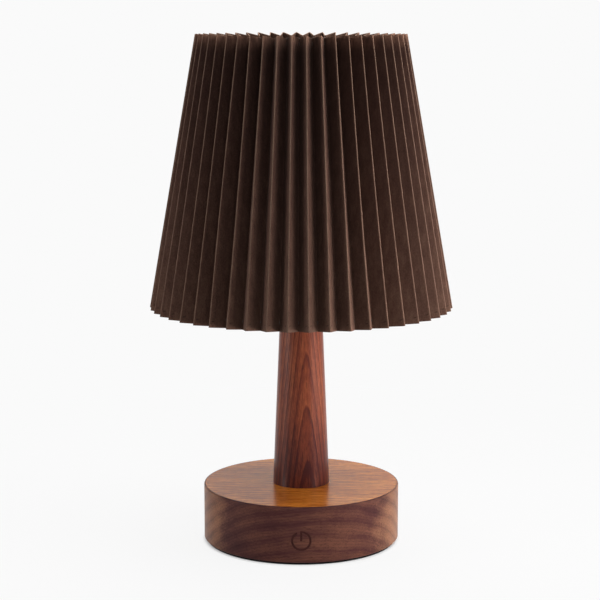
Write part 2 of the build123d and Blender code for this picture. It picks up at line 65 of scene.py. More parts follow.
# Studio. A lamp has its place, the spot that it points at, the side of its square, the spread of
# its beam in degrees and its power in watts. The bounces are pale boards that lie by the lamp.
BACKDROP = 0.956
SKY = 0.05
TABLE_SIZE = 0.96
FLOOR_PAINT = 0.88
FLOOR_FADE = (0.08, 0.45)
FLOOR_NEAR = 0.93
CONTACT = (0.0575, 0.0615)
CONTACT_LIGHT = 0.15
AIM = (0.0, 0.0, 0.07)
MIDDLE = (0.0, 0.0, 0.22)
LIGHTS = {
    "right_front": ((1.481, -0.925, 0.505), AIM, 0.8, 36, 1.0),
    "left_side": ((-1.70, -0.45, 0.40), MIDDLE, 0.8, 36, 1.2),
    "top": ((0.0, -0.126, 1.87), AIM, 1.2, 180, 7.0),
    "top_back": ((0.059, 0.672, 1.74), AIM, 1.2, 180, 17.0),
    "top_right": ((0.832, -0.147, 1.66), AIM, 1.0, 180, 13.5),
    "front": ((0.15, -1.33, 1.27), AIM, 0.8, 180, 6.0),
    "right_bounce": ((0.45, -0.10, 0.01), (0.32, -0.06, 0.5), 0.5, 180, 27.0),
    "left_bounce": ((-0.45, -0.10, 0.01), (-0.32, -0.06, 0.5), 0.5, 180, 4.0),
}


# Node helpers
def add_node(tree, kind, inputs=None, **settings):
    """Add a shader node. A socket given as an input is linked, and anything else is its value."""
    node = tree.nodes.new(kind)
    for key, value in settings.items():
        setattr(node, key, value)
    for key, value in (inputs or {}).items():
        if isinstance(value, bpy.types.NodeSocket):
            tree.links.new(value, node.inputs[key])
        else:
            node.inputs[key].default_value = value
    return node


def math_node(tree, operation, first, second=0.0):
    """Result of one sum on two numbers or sockets."""
    return add_node(tree, "ShaderNodeMath", {0: first, 1: second}, operation=operation).outputs[0]


def plus(tree, first, second):
    """Sum of two numbers or sockets."""
    return math_node(tree, "ADD", first, second)


def times(tree, first, second):
    """Product of two numbers or sockets."""
    return math_node(tree, "MULTIPLY", first, second)


def map_range(tree, value, start, end, low=0.0, high=1.0, smooth=False):
    """Value between a start and an end, mapped to the range from low to high and held at its ends."""
    shape = "SMOOTHSTEP" if smooth else "LINEAR"
    inputs = {0: value, 1: start, 2: end, 3: low, 4: high}
    return add_node(tree, "ShaderNodeMapRange", inputs, interpolation_type=shape).outputs[0]


def axes(tree, vector):
    """The three coordinates of a vector."""
    return add_node(tree, "ShaderNodeSeparateXYZ", {0: vector}).outputs


def ramp(tree, factor, stops):
    """Colour ramp: stops are (place, value), where a value is a grey level or a colour."""
    node = add_node(tree, "ShaderNodeValToRGB", {0: factor})
    elements = node.color_ramp.elements
    while len(elements) < len(stops):
        elements.new(0.5)
    for element, (place_at, value) in zip(elements, stops):
        element.position = place_at
        colour = (value,) * 3 if isinstance(value, (int, float)) else value
        element.color = (*colour, 1.0)
    return node.outputs[0]


def mix(tree, factor, first, second, blend="MIX"):
    """Mix of two colours."""
    node = add_node(tree, "ShaderNodeMix", data_type="RGBA", blend_type=blend)
    for index, value in ((0, factor), (6, first), (7, second)):
        if isinstance(value, bpy.types.NodeSocket):
            tree.links.new(value, node.inputs[index])
        elif index == 0:
            node.inputs[index].default_value = value
        else:
            node.inputs[index].default_value = (*value, 1.0)
    return node.outputs[2]


def place(tree, scale=(1, 1, 1), turn=(0, 0, 0)):
    """Coordinates in millimetres in the piece's own frame, scaled and turned."""
    coordinates = add_node(tree, "ShaderNodeTexCoord").outputs["Object"]
    size = tuple(s / MM for s in scale)
    return add_node(tree, "ShaderNodeMapping", {0: coordinates, 2: turn, 3: size}).outputs[0]


def stretched(tree, vector, scale):
    """Coordinates scaled again."""
    return add_node(tree, "ShaderNodeMapping", {0: vector, 3: scale}).outputs[0]


def noise(tree, vector, scale=1.0, detail=3.0, rough=0.55):
    """Noise value from 0 to 1."""
    inputs = {"Vector": vector, "Scale": scale, "Detail": detail, "Roughness": rough}
    return add_node(tree, "ShaderNodeTexNoise", inputs).outputs["Fac"]


def centred(tree, value, amount):
    """A noise value about zero, times an amount."""
    return times(tree, math_node(tree, "SUBTRACT", value, 0.5), amount)


def weighted(tree, *parts):
    """Sum of sockets, each times its weight."""
    total = 0.0
    for value, weight in parts:
        total = plus(tree, total, times(tree, value, weight))
    return total


def start_material(name, **shader_values):
    """New material with its tree and shader. Values are set on the shader's own sockets."""
    material = bpy.data.materials.new(name)
    material.use_nodes = True
    tree = material.node_tree
    shader = tree.nodes["Principled BSDF"]
    for key, value in shader_values.items():
        shader.inputs[key.replace("_", " ")].default_value = value
    return material, tree, shader


def bump(tree, shader, height, strength, distance):
    """Bump the surface by a height from 0 to 1."""
    inputs = {"Strength": strength, "Distance": distance, "Height": height}
    node = add_node(tree, "ShaderNodeBump", inputs)
    tree.links.new(node.outputs[0], shader.inputs["Normal"])


# Walnut. A ring's profile is its tone across one ring, from 0 to 1. The rest are lengths along the
# lamp's axis or across it, and colours that run from dark to light.
SOFT_RINGS = [(0.0, 0.5), (0.30, 0.95), (0.62, 0.55), (0.82, 0.10), (1.0, 0.5)]
SHARP_RINGS = [(0.0, 0.80), (0.30, 0.72), (0.72, 0.50), (0.88, 0.06), (0.94, 0.0), (1.0, 0.80)]
FINE_RINGS = [(0.0, 0.5), (0.55, 1.0), (0.85, 0.0), (1.0, 0.5)]
PORE = (0.020, 0.007, 0.005)
SIDE_ARCH = {"centre": (-56.0, -40.0), "peak": 11.0, "bend": 0.0045}
SIDE_TONES = [(0.30, (0.0250, 0.0088, 0.0095)), (0.62, (0.0500, 0.0172, 0.0158)),
              (0.98, (0.1000, 0.0390, 0.0250))]
PALE_ENDS = (40.0, 60.0)
PALE_WANDER = 34.0
PALE_END_GRAIN_AND_LIGHT = (0.225, 0.1060, 0.0590)
LIT_TOP_TONES = [(0.42, (0.216, 0.047, 0.0068)), (0.58, (0.515, 0.141, 0.0148)),
             (0.76, (0.880, 0.318, 0.0415))]
STEM_ARCH = {"centre": (-8.6, -1.9), "peak": 101.5, "lean": 0.09}
STEM_TONES = [(0.24, (0.032, 0.0057, 0.0049)), (0.60, (0.108, 0.0232, 0.0110)),
              (0.96, (0.205, 0.0570, 0.0224))]
DARK_FOOT = (46.0, 80.0)
CHAR_TONES = [(0.3, (0.023, 0.0068, 0.0055)), (0.7, (0.044, 0.0138, 0.0100))]


def growth_rings(tree, along, centre, gap, wander, profile, peak, bend=0.0, lean=0.0):
    """Tone of the growth rings round an axis along X, the grain. They wander, bend away from a peak
    along the grain, and lean, so that a face cuts them into arches."""
    drift = noise(tree, stretched(tree, along, (0.012, 0.035, 0.035)), detail=2)
    x, y, z = axes(tree, along)
    beside = math_node(tree, "SUBTRACT", x, peak)
    sag = times(tree, times(tree, beside, beside), bend)
    offset_y = math_node(tree, "SUBTRACT", y, centre[0])
    offset_z = plus(tree, math_node(tree, "SUBTRACT", z, centre[1]), sag)
    squared = plus(tree, times(tree, offset_y, offset_y), times(tree, offset_z, offset_z))
    distance = plus(tree, math_node(tree, "SQRT", squared), centred(tree, drift, 2 * gap * wander))
    distance = plus(tree, distance, times(tree, beside, lean))
    turns = math_node(tree, "DIVIDE", distance, gap)
    return ramp(tree, math_node(tree, "FRACT", turns), profile)


def wood_finish(tree, shader, colour, fibres, pores, roughness):
    """Dark pores in the colour, and gloss and a shallow relief from fibres and pores."""
    pore_mask = ramp(tree, pores, [(0.0, 1.0), (0.35, 1.0), (0.42, 0.0)])
    colour = mix(tree, times(tree, pore_mask, 0.45), colour, PORE)
    tree.links.new(colour, shader.inputs["Base Color"])
    gloss = plus(tree, roughness, centred(tree, fibres, 0.10))
    tree.links.new(gloss, shader.inputs["Roughness"])
    height = math_node(tree, "SUBTRACT", fibres, times(tree, pore_mask, 0.7))
    bump(tree, shader, height, 0.20, 0.00006)


def base_side_walnut():
    """Oiled walnut of the base's side: arched rings, paler towards both ends of the grain, partly as end
    grain and partly as painted light.
    """
    material, tree, shader = start_material("base_side_walnut", Specular_IOR_Level=0.05)
    along = place(tree)
    rings = growth_rings(tree, along, gap=8.5, wander=0.50, profile=SOFT_RINGS, **SIDE_ARCH)
    fine = growth_rings(tree, along, gap=1.9, wander=1.6, profile=FINE_RINGS, **SIDE_ARCH)
    fibres = noise(tree, stretched(tree, along, (0.06, 1.0, 1.0)), detail=4, rough=0.66)
    broad = noise(tree, stretched(tree, along, (0.020, 0.050, 0.050)), detail=3)
    pores = noise(tree, stretched(tree, along, (0.24, 3.0, 3.0)), detail=1, rough=0.4)
    tone = weighted(tree, (rings, 0.30), (fine, 0.12), (broad, 0.91), (centred(tree, fibres, 1.0), 0.55))
    colour = ramp(tree, tone, SIDE_TONES)
    # Pale ends, partly end grain and partly painted light on the left and right of the base.
    wandering = centred(tree, weighted(tree, (broad, 0.7), (fibres, 0.3)), PALE_WANDER)
    ends = plus(tree, math_node(tree, "ABSOLUTE", axes(tree, along)[0]), wandering)
    pale = map_range(tree, ends, *PALE_ENDS, smooth=True)
    grained = weighted(tree, (rings, 0.45), (fibres, 0.70), (fine, 0.10))
    colour = mix(tree, times(tree, pale, grained), colour, PALE_END_GRAIN_AND_LIGHT)
    wood_finish(tree, shader, colour, fibres, pores, 0.38)
    return material


def lit_base_top_walnut():
    """Oiled walnut of the base's top face, with fine straight lines. It is painted much paler and more orange
    than the side, as painted light on the top.
    """
    material, tree, shader = start_material("lit_base_top_walnut", Specular_IOR_Level=0.14)
    along = place(tree)
    fibres = noise(tree, stretched(tree, along, (0.06, 1.0, 1.0)), detail=4, rough=0.62)
    lines = noise(tree, stretched(tree, along, (0.055, 0.70, 0.70)), detail=5, rough=0.74)
    patches = noise(tree, stretched(tree, along, (0.012, 0.030, 0.030)), detail=2)
    pores = noise(tree, stretched(tree, along, (0.20, 2.4, 2.4)), detail=1, rough=0.4)
    colour = ramp(tree, weighted(tree, (lines, 0.90), (patches, 0.30)), LIT_TOP_TONES)
    wood_finish(tree, shader, colour, fibres, pores, 0.23)
    return material


def stem_walnut():
    """Oiled walnut of the stem: upright grain, whose leaning rings make cathedral arches in front."""
    material, tree, shader = start_material("stem_walnut", Specular_IOR_Level=0.12)
    along = place(tree, turn=(0, math.radians(90), 0))
    rings = growth_rings(tree, along, gap=1.7, wander=0.40, profile=SHARP_RINGS, **STEM_ARCH)
    fine = growth_rings(tree, along, gap=0.80, wander=1.6, profile=FINE_RINGS, **STEM_ARCH)
    fibres = noise(tree, stretched(tree, along, (0.20, 1.7, 1.7)), detail=5, rough=0.70)
    streaks = noise(tree, stretched(tree, along, (0.016, 0.30, 0.30)), detail=3)
    pores = noise(tree, stretched(tree, along, (0.14, 2.2, 2.2)), detail=1, rough=0.4)
    tone = weighted(tree, (rings, 0.46), (fine, 0.12), (streaks, 0.60), (centred(tree, fibres, 1.0), 0.85))
    height = axes(tree, place(tree))[2]
    tone = plus(tree, tone, map_range(tree, height, *DARK_FOOT, low=-0.30, high=0.0))
    colour = ramp(tree, tone, STEM_TONES)
    wood_finish(tree, shader, colour, fibres, pores, 0.30)
    return material


def scorched(name):
    """Burnt bottom of the touch sign's groove."""
    material, tree, shader = start_material(name, Specular_IOR_Level=0.1)
    char = noise(tree, place(tree, scale=(0.4, 3.0, 3.0)), detail=4)
    tree.links.new(ramp(tree, char, CHAR_TONES), shader.inputs["Base Color"])
    tree.links.new(plus(tree, 0.62, times(tree, char, 0.2)), shader.inputs["Roughness"])
    bump(tree, shader, char, 0.3, 0.00005)
    return material


# Cloth. Its tones go from dark to light. Painted light is in its colour: a level by degrees from the front,
# and a rise from the rim to the hem.
CLOTH_TONES = [(0.30, (0.0245, 0.0103, 0.0080)), (0.50, (0.0350, 0.0158, 0.0119)),
               (0.72, (0.0500, 0.0248, 0.0182))]
STRAND = (0.060, 0.031, 0.023)
HEM_LIGHT_TINT = (0.91, 1.0, 0.94)
FOLD_WEAR_AND_HIGHLIGHT = (0.160, 0.104, 0.074)
RIM_PAINTED_LIGHT = (0.230, 0.120, 0.082)
LINING = (0.190, 0.108, 0.078)
CUT_EDGE = (0.40, 0.25, 0.18)
STITCH_HOLE_SHADE = (0.008, 0.005, 0.004)
PAINTED_LIGHT_ROUND = [(-180, 1.0), (-48, 1.06), (-30, 1.0), (-8, 0.87), (8, 0.97), (21, 1.24), (37, 1.38),
             (57, 1.05), (80, 1.0)]
PAINTED_LIGHT_MOST = 1.5


def painted_light_by_angle(tree, x, y):
    """Level of the painted light by the angle round the shade."""
    angle = math_node(tree, "ARCTAN2", x, times(tree, y, -1.0))
    part = plus(tree, math_node(tree, "DIVIDE", angle, 2 * math.pi), 0.5)
    stops = [(0.5 + turn / 360, level / PAINTED_LIGHT_MOST) for turn, level in PAINTED_LIGHT_ROUND]
    return times(tree, ramp(tree, part, stops), PAINTED_LIGHT_MOST)


def pleated_cloth(name):
    """Dark brown napped cloth on stiff paper, lighter on its cut edges. Its noses are lighter, partly from
    wear and partly as painted highlight, and painted light lies along the rim, over its height and round it.
    """
    material, tree, shader = start_material(name, Specular_IOR_Level=0.08)
    marks = {}
    for mark in ("crease", "cut", "inside", "stitch"):
        marks[mark] = add_node(tree, "ShaderNodeAttribute", attribute_name=mark).outputs["Fac"]
    strand = noise(tree, place(tree, scale=(2.6, 2.6, 0.9)), detail=4, rough=0.7)
    nap = noise(tree, place(tree, scale=(1.3, 1.3, 0.9)), detail=3, rough=0.75)
    mottle = noise(tree, place(tree, scale=(0.30, 0.30, 0.10)), detail=5, rough=0.66)
    strands = ramp(tree, strand, [(0.35, 0.0), (0.80, 0.45)])
    colour = mix(tree, strands, ramp(tree, mottle, CLOTH_TONES), STRAND)
    x, y, height = axes(tree, place(tree))
    # Painted light, lighter from the rim to the hem and by angle round the shade, times the nap's real tone.
    painted_light_and_nap = map_range(tree, height, SHADE_TOP, SHADE_BOTTOM, 0.68, 1.68)
    painted_light_and_nap = times(tree, painted_light_and_nap, painted_light_by_angle(tree, x, y))
    painted_light_and_nap = times(tree, painted_light_and_nap, plus(tree, 1.0, centred(tree, nap, 1.1)))
    colour = mix(tree, 1.0, colour, painted_light_and_nap, blend="MULTIPLY")
    # Painted light: a tint towards the hem.
    downward = map_range(tree, height, SHADE_TOP, SHADE_BOTTOM)
    colour = mix(tree, downward, colour, HEM_LIGHT_TINT, blend="MULTIPLY")
    # Noses lighter, partly real wear and partly painted highlight, less so towards the hem.
    nose_light_by_height = map_range(tree, height, SHADE_TOP, SHADE_BOTTOM, 1.14, 0.56)
    nose_lightening = times(tree, marks["crease"], plus(tree, 0.15, nap))
    colour = mix(tree, times(tree, nose_lightening, nose_light_by_height), colour, FOLD_WEAR_AND_HIGHLIGHT)
    # Painted light: a lighter band below the rim, where light reaches over the tops of the folds.
    rim = math_node(tree, "POWER", map_range(tree, height, SHADE_TOP - LIT_RIM_BAND, SHADE_TOP), 1.6)
    rim = times(tree, rim, ramp(tree, mottle, [(0.35, 0.15), (0.65, 0.75)]))
    colour = mix(tree, rim, colour, RIM_PAINTED_LIGHT)
    colour = mix(tree, times(tree, marks["inside"], 0.8), colour, LINING)
    colour = mix(tree, times(tree, marks["cut"], 0.9), colour, CUT_EDGE)
    # Painted shade in the stitch holes, which are not cut in the sheet.
    colour = mix(tree, times(tree, marks["stitch"], 0.85), colour, STITCH_HOLE_SHADE)
    tree.links.new(colour, shader.inputs["Base Color"])
    tree.links.new(ramp(tree, strand, [(0.2, 0.78), (0.8, 0.95)]), shader.inputs["Roughness"])
    shader.inputs["Sheen Weight"].default_value = 0.02
    shader.inputs["Sheen Roughness"].default_value = 0.5
    shader.inputs["Sheen Tint"].default_value = (0.70, 0.48, 0.38, 1.0)
    bump(tree, shader, strand, 0.35, 0.00010)
    return material


# Metal and plastic
def metal(name, colour, roughness, brushed=(1.0, 1.0, 1.0)):
    """Bare metal with fine scratches along one direction and slight stains."""
    material, tree, shader = start_material(name, Metallic=1.0)
    scratch = noise(tree, place(tree, scale=brushed), scale=1.2, detail=5, rough=0.7)
    stain = noise(tree, place(tree, scale=(0.08, 0.08, 0.08)), detail=3)
    tree.links.new(mix(tree, stain, colour, tuple(c * 0.82 for c in colour)), shader.inputs["Base Color"])
    spread = plus(tree, roughness - 0.06, times(tree, scratch, 0.16))
    tree.links.new(spread, shader.inputs["Roughness"])
    bump(tree, shader, scratch, 0.12, 0.00004)
    return material


def moulded(name, colour, roughness, grain=2.0, depth=0.00005, **shader_values):
    """Moulded plastic, rubber, enamel or board: a fine grain, and slight changes of tone and gloss."""
    material, tree, shader = start_material(name, **shader_values)
    fine = noise(tree, place(tree), scale=grain, detail=4, rough=0.6)
    broad = noise(tree, place(tree, scale=(0.05, 0.05, 0.05)), detail=2)
    lighter = tuple(min(1.0, c * 1.12 + 0.003) for c in colour)
    tone = mix(tree, broad, colour, lighter)
    tone = mix(tree, times(tree, fine, 0.25), tone, tuple(c * 0.8 for c in colour))
    tree.links.new(tone, shader.inputs["Base Color"])
    spread = plus(tree, roughness - 0.05, times(tree, fine, 0.12))
    tree.links.new(spread, shader.inputs["Roughness"])
    bump(tree, shader, fine, 0.2, depth)
    return material


# Camera, lights and floor
def set_camera():
    """The photograph's viewpoint. The lens is shifted a hair so that the lamp stands where it does."""
    data = bpy.data.cameras.new("camera")
    data.sensor_width = SENSOR
    data.lens = FOCAL_PIXELS / IMAGE_PIXELS * SENSOR
    data.shift_x = -(AXIS_PIXEL - IMAGE_PIXELS / 2) / IMAGE_PIXELS
    camera = bpy.data.objects.new("camera", data)
    camera.location = (0.0, -CAMERA_DISTANCE, CAMERA_HEIGHT)
    camera.rotation_euler = (math.radians(90 - CAMERA_PITCH), 0.0, 0.0)
    bpy.context.scene.collection.objects.link(camera)
    bpy.context.scene.camera = camera


def set_light(name, place_at, aim, size, spread, power):
    """Soft square lamp. A bounce shows in no gloss."""
    data = bpy.data.lights.new(name, "AREA")
    data.shape = "SQUARE"
    data.size = size
    data.energy = power
    data.spread = math.radians(spread)
    light = bpy.data.objects.new(name, data)
    light.location = place_at
    light.rotation_euler = (Vector(aim) - Vector(place_at)).to_track_quat("-Z", "Y").to_euler()
    light.visible_camera = False
    light.visible_glossy = "bounce" not in name
    bpy.context.scene.collection.objects.link(light)


def seen_directly(tree):
    """1 for rays that show the surroundings: seen by the camera, in gloss or through glass."""
    path = add_node(tree, "ShaderNodeLightPath")
    either = math_node(tree, "MAXIMUM", path.outputs["Is Camera Ray"], path.outputs["Is Glossy Ray"])
    return math_node(tree, "MAXIMUM", either, path.outputs["Is Transmission Ray"])


def set_world(level):
    """Even pale surroundings, white where they are seen."""
    world = bpy.data.worlds.new("studio")
    bpy.context.scene.world = world
    world.use_nodes = True
    tree = world.node_tree
    background = tree.nodes["Background"]
    background.inputs[0].default_value = (1.0, 1.0, 1.0, 1.0)
    strength = map_range(tree, seen_directly(tree), 0.0, 1.0, level, BACKDROP)
    tree.links.new(strength, background.inputs[1])


def set_floor():
    """Pale floor that keeps a soft shadow by the lamp and runs out into the backdrop. It glows less where
    the foot touches it."""
    bpy.ops.mesh.primitive_plane_add(size=TABLE_SIZE, location=(0, 0, 0))
    floor = bpy.context.object
    floor.name = "floor"
    material = bpy.data.materials.new("floor_paint")
    material.use_nodes = True
    tree = material.node_tree
    tree.nodes.clear()
    paint = add_node(tree, "ShaderNodeBsdfDiffuse", {0: (FLOOR_PAINT, FLOOR_PAINT, FLOOR_PAINT, 1.0)})
    glow = add_node(tree, "ShaderNodeEmission", {0: (BACKDROP, BACKDROP, BACKDROP, 1.0), 1: 1.0})
    coordinates = add_node(tree, "ShaderNodeTexCoord").outputs["Object"]
    reach = add_node(tree, "ShaderNodeVectorMath", {0: coordinates}, operation="LENGTH").outputs["Value"]
    fade = map_range(tree, reach, *FLOOR_FADE, low=FLOOR_NEAR, smooth=True)
    contact = map_range(tree, reach, *CONTACT, low=CONTACT_LIGHT)
    share = times(tree, seen_directly(tree), times(tree, fade, contact))
    both = add_node(tree, "ShaderNodeMixShader", {0: share, 1: paint.outputs[0], 2: glow.outputs[0]})
    output = add_node(tree, "ShaderNodeOutputMaterial")
    tree.links.new(both.outputs[0], output.inputs[0])
    floor.data.materials.append(material)


set_camera()
set_world(SKY)
set_floor()
for light_name, settings in LIGHTS.items():
    set_light(light_name, *settings)
bpy.context.scene.view_settings.view_transform = "Standard"


# Mesh helpers
TUBE_SIDES = 12


def smooth_by_angle(mesh, degrees):
    """Smooth shading, but sharp where faces meet at more than an angle."""
    mesh.shade_smooth()
    mesh.set_sharp_from_angle(angle=math.radians(degrees))


def new_object(name, vertices, faces, materials, smooth_angle=None):
    """Mesh object from lists, with its materials."""
    mesh = bpy.data.meshes.new(name)
    mesh.from_pydata(vertices, [], faces)
    mesh.validate()
    for material in materials:
        mesh.materials.append(material)
    piece = bpy.data.objects.new(name, mesh)
    bpy.context.scene.collection.objects.link(piece)
    if smooth_angle is not None:
        smooth_by_angle(mesh, smooth_angle)
    return piece


def stand_in(piece, node, body):
    """Let a piece stand for a CAD node: it goes on the node's body, and the node is hidden."""
    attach(piece, body)
    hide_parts(node)


def round_axis(radius, degrees, height):
    """Point at a radius, an angle from the front towards +X and a height, in metres."""
    angle = math.radians(degrees)
    return Vector((radius * math.sin(angle), -radius * math.cos(angle), height)) * MM


def turned(name, outline, material, segments=96, smooth_angle=40):
    """Closed outline of (radius, height) points turned round the lamp's axis."""
    vertices, faces = [], []
    count = len(outline)
    for step in range(segments):
        for radius, height in outline:
            vertices.append(round_axis(radius, 360 * step / segments, height))
    for step in range(segments):
        here, there = step * count, (step + 1) % segments * count
        for index in range(count):
            after = (index + 1) % count
            faces.append((here + index, there + index, there + after, here + after))
    return new_object(name, vertices, faces, [material], smooth_angle)


def tube(name, points, radius, material, sides=TUBE_SIDES, closed=False):
    """Round bar along points, with flat ends or closed into a loop."""
    count = len(points)
    vertices, faces = [], []
    side = None
    for index, point in enumerate(points):
        before = points[index - 1] if closed or index else points[0]
        after = points[(index + 1) % count] if closed or index < count - 1 else points[-1]
        run = (after - before).normalized()
        if side is None:
            side = run.orthogonal().normalized()
        side = (side - run * side.dot(run)).normalized()
        up = run.cross(side)
        for turn in range(sides):
            angle = 2 * math.pi * turn / sides
            vertices.append(point + (side * math.cos(angle) + up * math.sin(angle)) * radius)
    for index in range(count if closed else count - 1):
        here, there = index * sides, (index + 1) % count * sides
        for turn in range(sides):
            after = (turn + 1) % sides
            faces.append((here + turn, here + after, there + after, there + turn))
    if not closed:
        faces.append(tuple(reversed(range(sides))))
        faces.append(tuple(range((count - 1) * sides, count * sides)))
    return new_object(name, vertices, faces, [material], 50)


# Pleated shade, rebuilt with rounded folds. Sizes are those of the CAD sheet, which is a hair thicker.
PLEATS = 48
PLEAT_PHASE = -4.78
SHADE_BOTTOM = 145.4
SHADE_TOP = 309.7
BOTTOM_RADIUS = 92.1
TOP_RADIUS = 63.4
PANEL_WIDTH = 10.4
CLOTH = 0.5
SLOPE = (BOTTOM_RADIUS - TOP_RADIUS) / (SHADE_TOP - SHADE_BOTTOM)

# The cut edges slant less at the hem than at the rim. Each fold is rounded over a reach on both of its
# sides. Outer folds, the noses, are lighter, partly from wear and partly as a painted highlight. On the
# inside of a fold the cloth is pinched, so that its two faces stay apart.
HEM_SLANT = 0.66
RIM_SLANT = 1.10
# Depth of the band below the rim that is painted lighter, as painted light.
LIT_RIM_BAND = 10.0
NOSE_REACH = 0.9
NOSE_INSET = 0.1
NOSE_WEAR_AND_HIGHLIGHT = (0.0, 0.08, 0.45, 1.0, 0.45, 0.08, 0.0)
NOSE_PINCH = 0.65
VALLEY_REACH = 1.4
VALLEY_PINCH = (1.0, 0.8, 0.55, 0.55, 0.8, 1.0)
PANEL_PARTS = (0.12, 0.33, 0.67)

# Rows of points, by their height above the hem. Folds stray a little round the shade and in depth, and
# their panels bow.
STITCH_HEIGHT = 3.6
ROWS = (0.0, 0.6, 1.8, 3.1, STITCH_HEIGHT, 4.1, 8.0, 14.0, 22.0, 34.0, 48.0, 64.0, 82.0, 100.0, 118.0, 134.0,
        146.0, 154.0, 159.3, 161.5, 163.2, SHADE_TOP - SHADE_BOTTOM)
SEED = 48
STRAY_TURN = math.radians(0.35)
STRAY_BOW = 0.20
STRAY_DEPTH = 0.5


def height_share(height):
    """0 at the hem and 1 at the rim."""
    return (height - SHADE_BOTTOM) / (SHADE_TOP - SHADE_BOTTOM)


def crest_radius(height):
    """Radius of the outer folds at a height."""
    return BOTTOM_RADIUS - SLOPE * (height - SHADE_BOTTOM)


def cut_slant(height):
    """How steeply the sheet's rows run down into the folds: less at the hem than at the rim."""
    return SLOPE * (HEM_SLANT + (RIM_SLANT - HEM_SLANT) * height_share(height))


def fold_depth(height):
    """Radial depth of the folds, from the width of a panel and the distance between folds."""
    half_pitch = math.pi * (crest_radius(height) - PANEL_WIDTH / 2) / PLEATS
    return math.sqrt(PANEL_WIDTH**2 - half_pitch**2)


def inner_radius(height):
    """Radius of the inner folds' inner face at a height."""
    return crest_radius(height) - fold_depth(height)


def plan_point(radius, angle):
    """Point in plan at a radius and an angle in radians from the front towards +X."""
    return np.array((radius * math.sin(angle), -radius * math.cos(angle)))


def part_way(start, end, reach):
    """Point a length away from a start on the way to an end."""
    gap = end - start
    return start + gap * (reach / np.linalg.norm(gap))


def rounded_corner(before, corner, after, steps):
    """Points of a curve that rounds a corner between two points."""
    points = []
    for index in range(steps + 1):
        t = index / steps
        points.append(before * (1 - t) ** 2 + corner * 2 * t * (1 - t) + after * t**2)
    return points


def bow(start, end, part, bulge):
    """Point on a panel that bows a little to one side."""
    along = end - start
    side = np.array((along[1], -along[0])) / np.linalg.norm(along)
    return start + along * part + side * bulge * 4 * part * (1 - part)


def section(height, strays):
    """Middle line of the cloth at one height, as points in plan. The folds stray most half way up."""
    radius = crest_radius(height)
    depth = fold_depth(height)
    sway = math.sin(math.pi * height_share(height))
    step = math.pi / PLEATS
    lean = math.atan2((radius - depth) * math.sin(step), radius - (radius - depth) * math.cos(step))
    sharp = radius - CLOTH / 2 + NOSE_REACH * math.cos(lean) / 2 - NOSE_INSET
    inner = radius - depth + CLOTH / 2 - VALLEY_REACH * math.cos(lean) / 2
    crests, valleys = [], []
    for index in range(PLEATS):
        turn, _, deep = strays[index]
        next_turn = strays[(index + 1) % PLEATS][0]
        centre = math.radians(PLEAT_PHASE) + 2 * step * index
        crests.append(plan_point(sharp, centre + turn * sway))
        valleys.append(plan_point(inner + deep * sway, centre + step + (turn + next_turn) / 2 * sway))
    points = []
    for index in range(PLEATS):
        bulge = strays[index][1] * sway
        crest, valley, following = crests[index], valleys[index], crests[(index + 1) % PLEATS]
        nose = rounded_corner(part_way(crest, valleys[index - 1], NOSE_REACH), crest,
                              part_way(crest, valley, NOSE_REACH), len(NOSE_WEAR_AND_HIGHLIGHT) - 1)
        dip = rounded_corner(part_way(valley, crest, VALLEY_REACH), valley,
                             part_way(valley, following, VALLEY_REACH), len(VALLEY_PINCH) - 1)
        next_nose = part_way(following, valley, NOSE_REACH)
        points += nose
        points += [bow(nose[-1], dip[0], part, bulge) for part in PANEL_PARTS]
        points += dip
        points += [bow(dip[-1], next_nose, 1 - part, -bulge) for part in reversed(PANEL_PARTS)]
    return np.array(points)


def crease_values():
    """Lightening of each point of a section, partly wear and partly painted highlight: full on the noses
    and none on the panels.
    """
    pleat = list(NOSE_WEAR_AND_HIGHLIGHT) + [0.0] * (2 * len(PANEL_PARTS) + len(VALLEY_PINCH))
    return np.array(pleat * PLEATS)


def face_shifts():
    """How far the outer and the inner face stand from the middle line, less on the inside of a fold."""
    panel = [1.0] * len(PANEL_PARTS)
    outer = [1.0] * len(NOSE_WEAR_AND_HIGHLIGHT) + panel + list(VALLEY_PINCH) + panel
    inner = [1.0 - NOSE_PINCH * wear for wear in NOSE_WEAR_AND_HIGHLIGHT] + panel + [1.0] * len(VALLEY_PINCH) + panel
    return np.array(outer * PLEATS) * CLOTH / 2, np.array(inner * PLEATS) * -CLOTH / 2


def stitch_values():
    """1 at the two points beside each nose where the thread goes through the cloth."""
    pleat = [0.0] * (len(NOSE_WEAR_AND_HIGHLIGHT) + 2 * len(PANEL_PARTS) + len(VALLEY_PINCH))
    pleat[len(NOSE_WEAR_AND_HIGHLIGHT)] = 1.0
    pleat[-1] = 1.0
    return np.array(pleat * PLEATS)


def mark_cloth(mesh, levels, count):
    """Attributes that tell the cloth's material where its noses are lightened by wear and painted highlight,
    where it is cut, where its stitch holes get painted shade and where it is turned inward.
    """
    hidden = np.zeros(levels * count)
    stitched = np.zeros((levels, count))
    stitched[ROWS.index(STITCH_HEIGHT)] = stitch_values()
    values = {
        "crease": np.concatenate([np.tile(crease_values(), levels), hidden]),
        "inside": np.concatenate([hidden, np.ones(levels * count)]),
        "stitch": np.concatenate([stitched.ravel(), hidden]),
    }
    for name, numbers in values.items():
        mesh.attributes.new(name, "FLOAT", "POINT").data.foreach_set("value", numbers.astype(np.float32))
    cut = np.zeros(len(mesh.polygons), np.float32)
    cut[-2 * count:] = 1.0
    mesh.attributes.new("cut", "FLOAT", "FACE").data.foreach_set("value", cut)


